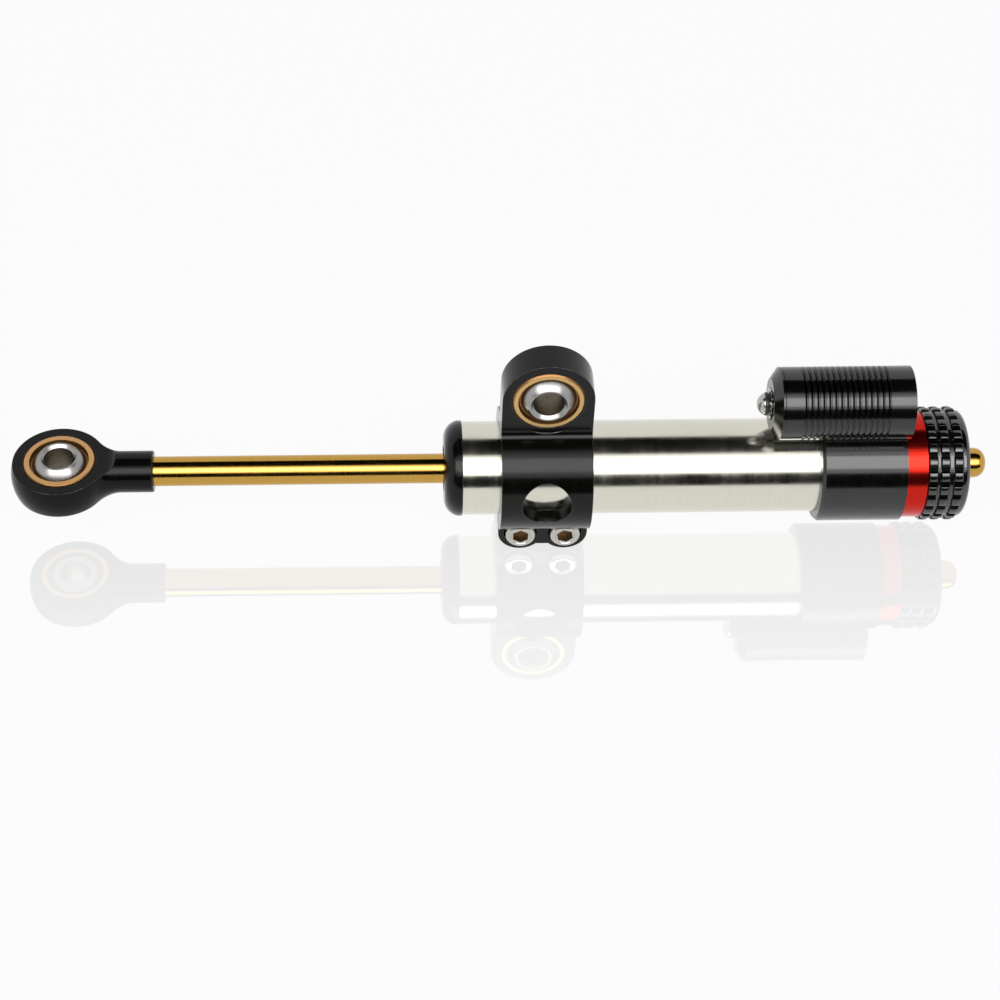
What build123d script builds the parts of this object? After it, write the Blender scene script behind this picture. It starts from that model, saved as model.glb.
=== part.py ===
from build123d import *
from math import sqrt
import os

os.makedirs("parts", exist_ok=True)

# Millimetres. +X runs along the damper from the rod end to the knob, +Z is up.
# The origin is the centre of the clamp's bearing, whose bolt lies along Y.

# Driving dimensions of the damper
stroke = 75.0
tube_radius = 12.5
rod_share = 0.32
tube_wall = 1.5
bearing_clearance = 15.6
clamp_to_tube_front = 22.0

# Fits and clearances
seat_gap = 0.02
running_gap = 0.05
rod_gap = 0.04
end_gap = 0.5
overrun = 1.0
edge_break = 0.3

# Spherical bearing, the same at both ends
ball_radius = 7.94
ball_width = 12.0
bore_radius = 4.0
bore_chamfer = 0.5
race_radius = 9.5
race_width = 9.0
race_mouth_radius = 7.0
race_face_radius = 7.55

# Rod end
eye_radius = 13.2
eye_thickness = 8.4
eye_to_shank = 25.1
shank_wall = 1.6
neck_fillet = 8.0
flat_runout_radius = 3.5
flat_reach = 15.6
bump_gap = 2.6
thread_step = 1.0
thread_length = 11.0
socket_spare = 0.6

# Gland cap
cap_dome = 5.3
cap_dome_length = 3.5
cap_band = 1.2
cap_lip = 0.3
spigot_length = 9.0
boss_length = 2.5
wiper_section = 2.2
wiper_width = 1.9
wiper_sink = 0.4
seal_section = 3.0
seal_width = 2.5
seal_web = 0.5
bush_wall = 1.6
bush_sink = 0.5
pin_hole_radius = 0.9
pin_hole_depth = 2.2
pin_hole_pitch_radius = 7.7
pin_hole_count = 2
gland_ring_section = 0.75
gland_groove_depth = 1.55
gland_groove_width = 1.8
gland_groove_back = 3.0

# Inner tube
passage_gap = 1.5
inner_wall = 1.0
port_radius = 0.9
port_offset = 1.3
port_count = 4

# Piston
piston_length = 9.0
piston_gap = 0.2
band_width = 5.0
band_thickness = 0.9
circlip_width = 1.0
circlip_reach = 1.0
circlip_groove = 0.5
circlip_mouth_angle = 50.0
piston_pocket_depth = 1.1
piston_pocket_reach = 1.3
energiser_section = 0.5

# Clamp
clamp_width = 24.0
ring_wall = 4.1
ear_thickness = 8.4
ear_fillet = 2.5
spot_face_radius = 11.3
lug_thickness = 17.0
lobe_radius = 6.0
screw_wall = 1.5
waist_drop = 4.2
waist_radius = 4.9
split_width = 1.6
window_radius = 6.5
window_rise = 1.6
screw_radius = 2.5
screw_clearance = 0.15
screw_head_radius = 4.1
screw_head_height = 5.0
screw_head_proud = 1.7
screw_recess_radius = 4.5
screw_end_sink = 0.5
hex_flats = 4.0
hex_depth = 2.6
head_round = 0.5

# Head block with its collar and reservoir barrel
collar_wall = 2.6
collar_length = 22.3
collar_lap = 4.7
collar_bevel = 0.8
web_margin = 0.6
web_thickness = 1.8
barrel_radius = 9.65
barrel_sink = 2.25
barrel_length = 36.3
nose_radius = 6.8
nose_length = 2.0
rib_count = 15
rib_pitch = 1.53
rib_width = 0.55
rib_depth = 0.45
rib_rear_margin = 7.1
reservoir_bore_radius = 7.8
reservoir_end_wall = 4.5
gallery_radius = 1.2

# Rear guide, which the metering sleeve turns on
flange_thickness = 3.0
port_chamber_length = 3.0
tail_wall = 3.0
tail_nose_step = 0.8
tail_nose_proud = 0.4
gallery_hole_radius = 0.5
gallery_pitch_reach = 2.25
gallery_count = 4
flange_hole_radius = 0.6
flange_hole_count = 6
rear_bush_length = 9.0
rear_seal_section = 2.0
rear_wiper_section = 1.3
rear_wiper_width = 1.4
relief_gap = 0.4
tube_ring_section = 0.5
tube_groove_width = 1.2

# Metering sleeve
sleeve_wall = 2.5
port_chamber_depth = 1.2
sleeve_ring_section = 0.45
sleeve_groove_width = 1.1

# Lock ring
ring_width = 5.4
ring_step = 0.8
ring_thread_wall = 2.0
ring_thread_length = 6.4
spanner_hole_radius = 0.95
spanner_hole_depth = 2.4
spanner_hole_count = 3
spanner_hole_angle = 90.0
detent_ball_radius = 1.0
detent_pocket_depth = 4.5
detent_spring_wall = 0.35

# Adjuster knob
knob_length = 11.25
knob_tooth_height = 0.9
knob_tooth_count = 24
knob_row_shares = (0.11, 0.39, 0.70)
knob_row_top = 1.5
knob_row_foot = 2.7
knob_notch_radius = 1.1
knob_notch_depth = 0.85
knob_end_round = 1.3
knob_socket_depth = 4.0
knob_web = 4.3
knob_rear_pocket_wall = 4.7
dimple_radius = 0.6
dimple_depth = 0.3
dimple_angle = 30.0
tip_reach = 6.85
tip_round = 3.0

# Compensator in the reservoir
compensator_length = 6.5
compensator_place_share = 0.28
compensator_bowl_radius = 5.0
compensator_bowl_depth = 3.0
compensator_ring_section = 0.6
compensator_groove_width = 1.5
plug_length = 3.6
plug_sink = 1.4
plug_ring_section = 0.6
plug_groove_width = 1.5
plug_slot_width = 2.0
plug_slot_depth = 1.0
plug_clip_width = 0.9
plug_clip_reach = 1.2
plug_clip_bite = 0.6

# Nose screw
dome_radius = 2.9
dome_height = 1.9
nose_screw_radius = 2.0
nose_screw_length = 5.0
sealing_ring_width = 1.1
toothed_washer_radius = 4.3
toothed_washer_width = 0.5
toothed_washer_teeth = 14
toothed_washer_notch = 0.45

# Radii that follow the rod's
rod_radius = rod_share * tube_radius
shank_radius = rod_radius + shank_wall
thread_radius = rod_radius - thread_step
wiper_radius = rod_radius + wiper_section
seal_radius = rod_radius + seal_section
bush_radius = rod_radius + bush_wall
piston_pocket_radius = rod_radius + piston_pocket_reach
relief_radius = rod_radius + relief_gap
rear_seal_radius = rod_radius + rear_seal_section
rear_wiper_radius = rod_radius + rear_wiper_section
gallery_pitch_radius = rod_radius + gallery_pitch_reach
tail_radius = rod_radius + tail_wall
tail_nose_radius = tail_radius - tail_nose_step
sleeve_radius = tail_radius + sleeve_wall
ring_thread_radius = sleeve_radius + ring_thread_wall
knob_rear_pocket_radius = rod_radius + knob_rear_pocket_wall

# Radii and heights that follow the tube's
tube_bore_radius = tube_radius - tube_wall
inner_tube_radius = tube_bore_radius - passage_gap
inner_bore_radius = inner_tube_radius - inner_wall
boss_radius = inner_bore_radius - running_gap
cap_rim_radius = tube_radius + cap_lip
ring_radius = tube_radius + ring_wall
bearing_rise = tube_radius + bearing_clearance
screw_drop = tube_radius + screw_wall + screw_radius
collar_radius = tube_radius + collar_wall
collar_seat_radius = tube_radius + seat_gap
reservoir_rise = collar_radius + barrel_radius - barrel_sink
ring_face_radius = collar_radius - ring_step
knob_core_radius = ring_face_radius
knob_tooth_radius = knob_core_radius + knob_tooth_height
detent_pitch_radius = (ring_face_radius + sleeve_radius) / 2
screw_pitch = clamp_width - 2 * lobe_radius

# Stations along the tube's axis, worked out from the sizes above
tube_front_x = -clamp_to_tube_front
cap_shoulder_x = tube_front_x - cap_band
cap_front_x = cap_shoulder_x - cap_dome_length
shank_end_x = cap_front_x - bump_gap - stroke
eye_x = shank_end_x - eye_to_shank
spigot_end_x = tube_front_x + spigot_length
chamber_front_x = spigot_end_x + boss_length
piston_front_x = chamber_front_x + end_gap
piston_rear_x = piston_front_x + piston_length
chamber_rear_x = piston_rear_x + stroke + end_gap
flange_front_x = chamber_rear_x + boss_length
flange_rear_x = flange_front_x + flange_thickness
collar_front_x = flange_front_x - collar_lap
collar_rear_x = collar_front_x + collar_length
port_chamber_end_x = flange_rear_x + port_chamber_length
thread_front_x = collar_rear_x - ring_thread_length
ring_rear_x = collar_rear_x + ring_width
knob_front_x = ring_rear_x + running_gap
knob_rear_x = knob_front_x + knob_length
knob_socket_x = knob_front_x + knob_socket_depth
knob_web_x = knob_socket_x + knob_web
tail_end_x = knob_rear_x - tail_nose_proud
tip_x = knob_rear_x + tip_reach
barrel_front_x = collar_rear_x - barrel_length
gallery_x = flange_rear_x + port_chamber_length / 2

# Axes of the tube and of the reservoir
tube_height = -bearing_rise
reservoir_height = tube_height + reservoir_rise
tube_line = Axis((0, 0, tube_height), (1, 0, 0))
reservoir_line = Axis((0, 0, reservoir_height), (1, 0, 0))
tube_section = Plane(origin=(0, 0, tube_height), x_dir=(1, 0, 0), z_dir=(0, -1, 0))
reservoir_section = Plane(
    origin=(0, 0, reservoir_height), x_dir=(1, 0, 0), z_dir=(0, -1, 0)
)
clamp_front = Plane(origin=(0, 0, 0), x_dir=(1, 0, 0), z_dir=(0, -1, 0))


def station(x, height=tube_height):
    """Plane square to the damper's length at x, with local x along Y and local y up."""
    return Plane(origin=(x, 0, height), x_dir=(0, 1, 0), z_dir=(1, 0, 0))


def sleeve_ring(start, end, inner, outer, height=tube_height):
    """Plain ring from start to end along X."""
    with BuildPart() as solid:
        with BuildSketch(station(start, height)):
            Circle(outer)
            Circle(inner, mode=Mode.SUBTRACT)
        extrude(amount=end - start)
    return solid


def o_ring(x, centre_radius, section_radius, section=tube_section, line=tube_line):
    """Round-section ring about a line, its section centred at x."""
    with BuildPart() as solid:
        with BuildSketch(section):
            with Locations((x, centre_radius)):
                Circle(section_radius)
        revolve(axis=line)
    return solid


def circlip(start, width, inner, outer, mouth, height=tube_height):
    """Open retaining ring, its mouth of so many degrees turned down."""
    with BuildPart() as solid:
        with BuildSketch(station(start, height)):
            Circle(outer)
            Circle(inner, mode=Mode.SUBTRACT)
            with BuildLine():
                reach = outer + overrun
                left = PolarLine((0, 0), reach, -90 - mouth / 2)
                right = PolarLine((0, 0), reach, -90 + mouth / 2)
                Line(left @ 1, right @ 1)
            make_face(mode=Mode.SUBTRACT)
        extrude(amount=width)
    return solid


def bearing_ball(section, line):
    """Ball with two flat faces and a bore, turned round the bore's line."""
    half = ball_width / 2
    face_radius = sqrt(ball_radius**2 - half**2)
    with BuildPart() as solid:
        with BuildSketch(section):
            with BuildLine():
                Polyline(
                    (half, face_radius),
                    (half, bore_radius + bore_chamfer),
                    (half - bore_chamfer, bore_radius),
                    (bore_chamfer - half, bore_radius),
                    (-half, bore_radius + bore_chamfer),
                    (-half, face_radius),
                )
                ThreePointArc(
                    (-half, face_radius), (0, ball_radius), (half, face_radius)
                )
            make_face()
        revolve(axis=line)
    return solid


def bearing_race(section, line):
    """Race with a hollow sphere inside, and a flared mouth at each face."""
    half = race_width / 2
    seat_radius = ball_radius + rod_gap
    mouth = sqrt(seat_radius**2 - race_mouth_radius**2)
    with BuildPart() as solid:
        with BuildSketch(section):
            with BuildLine():
                Polyline(
                    (mouth, race_mouth_radius),
                    (half, race_face_radius),
                    (half, race_radius - edge_break),
                    (half - edge_break, race_radius),
                    (edge_break - half, race_radius),
                    (-half, race_radius - edge_break),
                    (-half, race_face_radius),
                    (-mouth, race_mouth_radius),
                )
                ThreePointArc(
                    (-mouth, race_mouth_radius),
                    (0, seat_radius),
                    (mouth, race_mouth_radius),
                )
            make_face()
        revolve(axis=line)
    return solid


# Rod end: a ball-shaped eye that flows into the shank through a hollow neck
neck_run = sqrt((eye_radius + neck_fillet) ** 2 - (shank_radius + neck_fillet) ** 2)
neck_share = eye_radius / (eye_radius + neck_fillet)
neck_start = (
    eye_x + neck_run * neck_share,
    (shank_radius + neck_fillet) * neck_share,
)
flat_height = eye_thickness / 2
flat_end_x = eye_x + flat_reach
runout_rise = shank_radius + overrun - flat_height
runout_run = sqrt(flat_runout_radius**2 - (flat_runout_radius - runout_rise) ** 2)
eye_line = Axis((eye_x, 0, tube_height), (0, 0, 1))
eye_section = Plane(origin=(eye_x, 0, tube_height), x_dir=(0, 0, 1), z_dir=(0, 1, 0))
socket_end_x = shank_end_x - thread_length - socket_spare

with BuildPart() as rod_end:
    with BuildSketch(tube_section):
        with BuildLine():
            Line((eye_x - eye_radius, 0), (shank_end_x, 0))
            Line((shank_end_x, 0), (shank_end_x, shank_radius - edge_break))
            Line(
                (shank_end_x, shank_radius - edge_break),
                (shank_end_x - edge_break, shank_radius),
            )
            Line((shank_end_x - edge_break, shank_radius), (eye_x + neck_run, shank_radius))
            RadiusArc((eye_x + neck_run, shank_radius), neck_start, neck_fillet)
            ThreePointArc(
                neck_start, (eye_x, eye_radius), (eye_x - eye_radius, 0)
            )
        make_face()
    revolve(axis=tube_line)
    # The two flats, each run out on the shank by the cutter's round
    with BuildSketch(tube_section) as flat_cut:
        with BuildLine():
            far_x = eye_x - eye_radius - overrun
            top = eye_radius + overrun
            Line((far_x, flat_height), (flat_end_x - runout_run, flat_height))
            RadiusArc(
                (flat_end_x - runout_run, flat_height),
                (flat_end_x, flat_height + runout_rise),
                -flat_runout_radius,
            )
            Line((flat_end_x, flat_height + runout_rise), (flat_end_x, top))
            Line((flat_end_x, top), (far_x, top))
            Line((far_x, top), (far_x, flat_height))
        make_face()
        mirror(about=Plane.XZ)
    extrude(amount=eye_radius + overrun, both=True, mode=Mode.SUBTRACT)
    # Seat of the race
    with BuildSketch(Plane.XY.offset(tube_height - flat_height - overrun)):
        with Locations((eye_x, 0)):
            Circle(race_radius + seat_gap)
    extrude(amount=eye_thickness + 2 * overrun, mode=Mode.SUBTRACT)
    # Threaded socket of the shank
    with BuildSketch(station(socket_end_x)):
        Circle(thread_radius + seat_gap)
    extrude(amount=shank_end_x - socket_end_x, mode=Mode.SUBTRACT)
    seat_edges = rod_end.edges().filter_by(GeomType.CIRCLE)
    seat_edges = seat_edges.filter_by(lambda edge: abs(edge.radius - race_radius) < edge_break)
    chamfer(seat_edges, edge_break)
rod_end.part.label = "rod_end"
export_step(rod_end.part, "parts/rod_end.step")

rod_end_race = bearing_race(eye_section, eye_line)
rod_end_race.part.label = "rod_end_race"
export_step(rod_end_race.part, "parts/rod_end_race.step")

rod_end_ball = bearing_ball(eye_section, eye_line)
rod_end_ball.part.label = "rod_end_ball"
export_step(rod_end_ball.part, "parts/rod_end_ball.step")

# Piston rod, through the whole damper, with two circlip grooves at the piston
groove_radius = rod_radius - circlip_groove
clip_slack = piston_pocket_depth - circlip_width
front_clip_x = piston_front_x + clip_slack / 2
rear_clip_x = piston_rear_x - clip_slack / 2 - circlip_width
with BuildPart() as piston_rod:
    with BuildSketch(station(shank_end_x)):
        Circle(rod_radius)
    extrude(amount=tip_x - shank_end_x)
    fillet(piston_rod.edges().sort_by(Axis.X)[-1], tip_round)
    with BuildSketch(station(shank_end_x - thread_length)):
        Circle(thread_radius)
    extrude(amount=thread_length)
    chamfer(piston_rod.edges().sort_by(Axis.X)[0], edge_break)
    for clip_x in (front_clip_x, rear_clip_x):
        with BuildSketch(station(clip_x - seat_gap)):
            Circle(rod_radius + overrun)
            Circle(groove_radius - seat_gap, mode=Mode.SUBTRACT)
        extrude(amount=circlip_width + 2 * seat_gap, mode=Mode.SUBTRACT)
piston_rod.part.label = "piston_rod"
export_step(piston_rod.part, "parts/piston_rod.step")

# Piston with a pocket for a circlip in each face and the wear band's groove
piston_radius = inner_bore_radius - piston_gap
band_radius = inner_bore_radius - rod_gap
band_inner_radius = band_radius - band_thickness
band_front_x = (piston_front_x + piston_rear_x - band_width) / 2
band_groove_radius = band_inner_radius - running_gap
energiser_x = band_front_x + band_width / 2
energiser_centre = band_inner_radius - running_gap - energiser_section
with BuildPart() as piston:
    with BuildSketch(station(piston_front_x)):
        Circle(piston_radius)
        Circle(rod_radius + seat_gap, mode=Mode.SUBTRACT)
    extrude(amount=piston_length)
    with BuildSketch(station(piston_front_x), station(piston_rear_x - piston_pocket_depth)):
        Circle(piston_pocket_radius)
    extrude(amount=piston_pocket_depth, mode=Mode.SUBTRACT)
    with BuildSketch(station(band_front_x - running_gap)):
        Circle(piston_radius + overrun)
        Circle(band_groove_radius, mode=Mode.SUBTRACT)
    extrude(amount=band_width + 2 * running_gap, mode=Mode.SUBTRACT)
    with BuildSketch(station(energiser_x - energiser_section - seat_gap)):
        Circle(band_groove_radius + overrun)
        Circle(energiser_centre - energiser_section - seat_gap, mode=Mode.SUBTRACT)
    extrude(amount=2 * (energiser_section + seat_gap), mode=Mode.SUBTRACT)
piston.part.label = "piston"
export_step(piston.part, "parts/piston.step")

piston_band = sleeve_ring(
    band_front_x, band_front_x + band_width, band_inner_radius, band_radius
)
piston_band.part.label = "piston_band"
export_step(piston_band.part, "parts/piston_band.step")

piston_seal = o_ring(energiser_x, energiser_centre, energiser_section)
piston_seal.part.label = "piston_seal"
export_step(piston_seal.part, "parts/piston_seal.step")

front_clip = circlip(
    front_clip_x, circlip_width, groove_radius, rod_radius + circlip_reach, circlip_mouth_angle
)
rear_clip = circlip(
    rear_clip_x, circlip_width, groove_radius, rod_radius + circlip_reach, circlip_mouth_angle
)
piston_circlips = Compound(
    label="piston_circlips", children=[front_clip.part, rear_clip.part]
)
export_step(piston_circlips, "parts/piston_circlips.step")

# Gland cap: a domed head, a spigot in the tube and a boss in the inner tube
wiper_front_x = cap_front_x + wiper_sink
wiper_end_x = wiper_front_x + wiper_width
seal_front_x = wiper_end_x + seal_web
seal_end_x = seal_front_x + seal_width
bush_front_x = seal_end_x + seal_web
bush_end_x = chamber_front_x - bush_sink
gland_groove_x = spigot_end_x - gland_groove_back - gland_groove_width
spigot_radius = tube_bore_radius - seat_gap
gland_groove_radius = spigot_radius - gland_groove_depth
with BuildPart() as gland_cap:
    with BuildSketch(tube_section):
        with BuildLine():
            Polyline(
                (cap_front_x, wiper_radius + seat_gap),
                (cap_front_x, cap_rim_radius - cap_dome),
            )
            ThreePointArc(
                (cap_front_x, cap_rim_radius - cap_dome),
                (
                    cap_shoulder_x - cap_dome_length * sqrt(0.5),
                    cap_rim_radius - cap_dome + cap_dome * sqrt(0.5),
                ),
                (cap_shoulder_x, cap_rim_radius),
            )
            Polyline(
                (cap_shoulder_x, cap_rim_radius),
                (tube_front_x, cap_rim_radius),
                (tube_front_x, spigot_radius),
                (spigot_end_x, spigot_radius),
                (spigot_end_x, boss_radius),
                (chamber_front_x, boss_radius),
                (chamber_front_x, bush_radius + seat_gap),
                (bush_front_x, bush_radius + seat_gap),
                (bush_front_x, rod_radius + 2 * running_gap),
                (seal_end_x, rod_radius + 2 * running_gap),
                (seal_end_x, seal_radius + seat_gap),
                (seal_front_x, seal_radius + seat_gap),
                (seal_front_x, rod_radius + 2 * running_gap),
                (wiper_end_x, rod_radius + 2 * running_gap),
                (wiper_end_x, wiper_radius + seat_gap),
                (cap_front_x, wiper_radius + seat_gap),
            )
        make_face()
    revolve(axis=tube_line)
    # Groove of the gland's sealing ring
    with BuildSketch(station(gland_groove_x)):
        Circle(spigot_radius + overrun)
        Circle(gland_groove_radius, mode=Mode.SUBTRACT)
    extrude(amount=gland_groove_width, mode=Mode.SUBTRACT)
    # Two holes for a pin spanner
    with BuildSketch(station(cap_front_x)):
        with PolarLocations(pin_hole_pitch_radius, pin_hole_count):
            Circle(pin_hole_radius)
    extrude(amount=pin_hole_depth, mode=Mode.SUBTRACT)
gland_cap.part.label = "gland_cap"
export_step(gland_cap.part, "parts/gland_cap.step")

wiper_front = sleeve_ring(wiper_front_x, wiper_end_x, rod_radius + rod_gap, wiper_radius)
wiper_front.part.label = "wiper_front"
export_step(wiper_front.part, "parts/wiper_front.step")

rod_seal_front = sleeve_ring(seal_front_x, seal_end_x, rod_radius + rod_gap, seal_radius)
rod_seal_front.part.label = "rod_seal_front"
export_step(rod_seal_front.part, "parts/rod_seal_front.step")

rod_bush_front = sleeve_ring(bush_front_x, bush_end_x, rod_radius + rod_gap, bush_radius)
rod_bush_front.part.label = "rod_bush_front"
export_step(rod_bush_front.part, "parts/rod_bush_front.step")

gland_seal = o_ring(
    gland_groove_x + gland_groove_width / 2,
    gland_groove_radius + seat_gap + gland_ring_section,
    gland_ring_section,
)
gland_seal.part.label = "gland_seal"
export_step(gland_seal.part, "parts/gland_seal.step")

# Tubes
outer_tube = sleeve_ring(tube_front_x, flange_front_x, tube_bore_radius, tube_radius)
outer_tube.part.label = "outer_tube"
export_step(outer_tube.part, "parts/outer_tube.step")

with BuildPart() as inner_tube:
    with BuildSketch(station(spigot_end_x)):
        Circle(inner_tube_radius)
        Circle(inner_bore_radius, mode=Mode.SUBTRACT)
    extrude(amount=flange_front_x - spigot_end_x)
    # Ports from the piston's front chamber into the return passage
    for turn in range(port_count):
        port_plane = station(chamber_front_x + port_offset).rotated((0, 0, turn * 360 / port_count))
        with BuildSketch(Plane(origin=port_plane.origin, x_dir=(1, 0, 0), z_dir=port_plane.x_dir)):
            Circle(port_radius)
        extrude(amount=inner_tube_radius + overrun, mode=Mode.SUBTRACT)
inner_tube.part.label = "inner_tube"
export_step(inner_tube.part, "parts/inner_tube.step")

# Clamp: ring round the tube, an ear above with the bearing, a lug below with two screws
half_ear = ear_thickness / 2
half_lug = lug_thickness / 2
half_clamp = clamp_width / 2
screw_height = tube_height - screw_drop
waist_centre = screw_height - waist_drop - waist_radius
head_seat_y = half_lug + screw_head_proud - screw_head_height
with BuildPart() as clamp:
    with BuildSketch(station(-half_clamp)):
        Circle(ring_radius)
        with Locations((0, bearing_rise / 2)):
            Rectangle(ear_thickness, bearing_rise)
    extrude(amount=clamp_width)
    crease_edges = clamp.edges().filter_by(Axis.X).group_by(Axis.Z)[-2]
    fillet(crease_edges, ear_fillet)
    # Round top of the ear
    with BuildSketch(clamp_front.offset(-half_ear)):
        Circle(half_clamp)
    extrude(amount=ear_thickness)
    # Lug with two lobes and a waist between them
    with BuildSketch(clamp_front.offset(-half_lug)):
        with Locations((0, (screw_height + tube_height) / 2)):
            Rectangle(clamp_width, screw_drop)
        with Locations((-screw_pitch / 2, screw_height), (screw_pitch / 2, screw_height)):
            Circle(lobe_radius)
        with Locations((0, screw_height - waist_drop / 2)):
            Rectangle(screw_pitch, waist_drop)
        with Locations((0, waist_centre)):
            Circle(waist_radius, mode=Mode.SUBTRACT)
    extrude(amount=lug_thickness)
    # Bore for the tube, and the split below it
    with BuildSketch(station(-half_clamp - overrun)):
        Circle(tube_radius + seat_gap)
        with Locations((0, -(screw_drop + lobe_radius))):
            Rectangle(split_width, 2 * (screw_drop + lobe_radius - tube_radius / 2))
    extrude(amount=clamp_width + 2 * overrun, mode=Mode.SUBTRACT)
    # Bearing seat, and the spot face round it on both sides
    with BuildSketch(clamp_front.offset(-half_ear - overrun)):
        Circle(race_radius + seat_gap)
    extrude(amount=ear_thickness + 2 * overrun, mode=Mode.SUBTRACT)
    with BuildSketch(clamp_front.offset(half_ear)):
        Circle(spot_face_radius)
    extrude(amount=ring_radius, mode=Mode.SUBTRACT)
    with BuildSketch(clamp_front.offset(-half_ear)):
        Circle(spot_face_radius)
    extrude(amount=-ring_radius, mode=Mode.SUBTRACT)
    # Window in the front wall
    with BuildSketch(clamp_front):
        with Locations((0, tube_height + window_rise)):
            Circle(window_radius)
    extrude(amount=ring_radius + overrun, mode=Mode.SUBTRACT)
    # Recesses of the screw heads, then the screws' holes
    with BuildSketch(clamp_front.offset(head_seat_y)):
        with Locations((-screw_pitch / 2, screw_height), (screw_pitch / 2, screw_height)):
            Circle(screw_recess_radius)
    extrude(amount=ring_radius, mode=Mode.SUBTRACT)
    with BuildSketch(clamp_front):
        with Locations((-screw_pitch / 2, screw_height), (screw_pitch / 2, screw_height)):
            Circle(screw_radius + screw_clearance)
    extrude(amount=ring_radius, mode=Mode.SUBTRACT)
    with BuildSketch(clamp_front):
        with Locations((-screw_pitch / 2, screw_height), (screw_pitch / 2, screw_height)):
            Circle(screw_radius + seat_gap)
    extrude(amount=-ring_radius, mode=Mode.SUBTRACT)
clamp.part.label = "clamp"
export_step(clamp.part, "parts/clamp.step")

bearing_section = Plane(origin=(0, 0, 0), x_dir=(0, 1, 0), z_dir=(1, 0, 0))
clamp_race = bearing_race(bearing_section, Axis.Y)
clamp_race.part.label = "clamp_race"
export_step(clamp_race.part, "parts/clamp_race.step")

clamp_ball = bearing_ball(bearing_section, Axis.Y)
clamp_ball.part.label = "clamp_ball"
export_step(clamp_ball.part, "parts/clamp_ball.step")

# Two socket-head screws that close the clamp
with BuildPart() as clamp_screws:
    with BuildSketch(clamp_front.offset(screw_end_sink - half_lug)):
        with Locations((-screw_pitch / 2, screw_height), (screw_pitch / 2, screw_height)):
            Circle(screw_radius)
    extrude(amount=half_lug + head_seat_y - screw_end_sink)
    with BuildSketch(clamp_front.offset(head_seat_y)):
        with Locations((-screw_pitch / 2, screw_height), (screw_pitch / 2, screw_height)):
            Circle(screw_head_radius)
    extrude(amount=screw_head_height)
    rims = clamp_screws.edges().filter_by(GeomType.CIRCLE).group_by(Axis.Y)[0]
    fillet(rims, head_round)
    with BuildSketch(clamp_front.offset(head_seat_y + screw_head_height)):
        with Locations((-screw_pitch / 2, screw_height), (screw_pitch / 2, screw_height)):
            RegularPolygon(hex_flats / 2, 6, major_radius=False)
    extrude(amount=-hex_depth, mode=Mode.SUBTRACT)
clamp_screws.part.label = "clamp_screws"
export_step(clamp_screws.part, "parts/clamp_screws.step")

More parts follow.
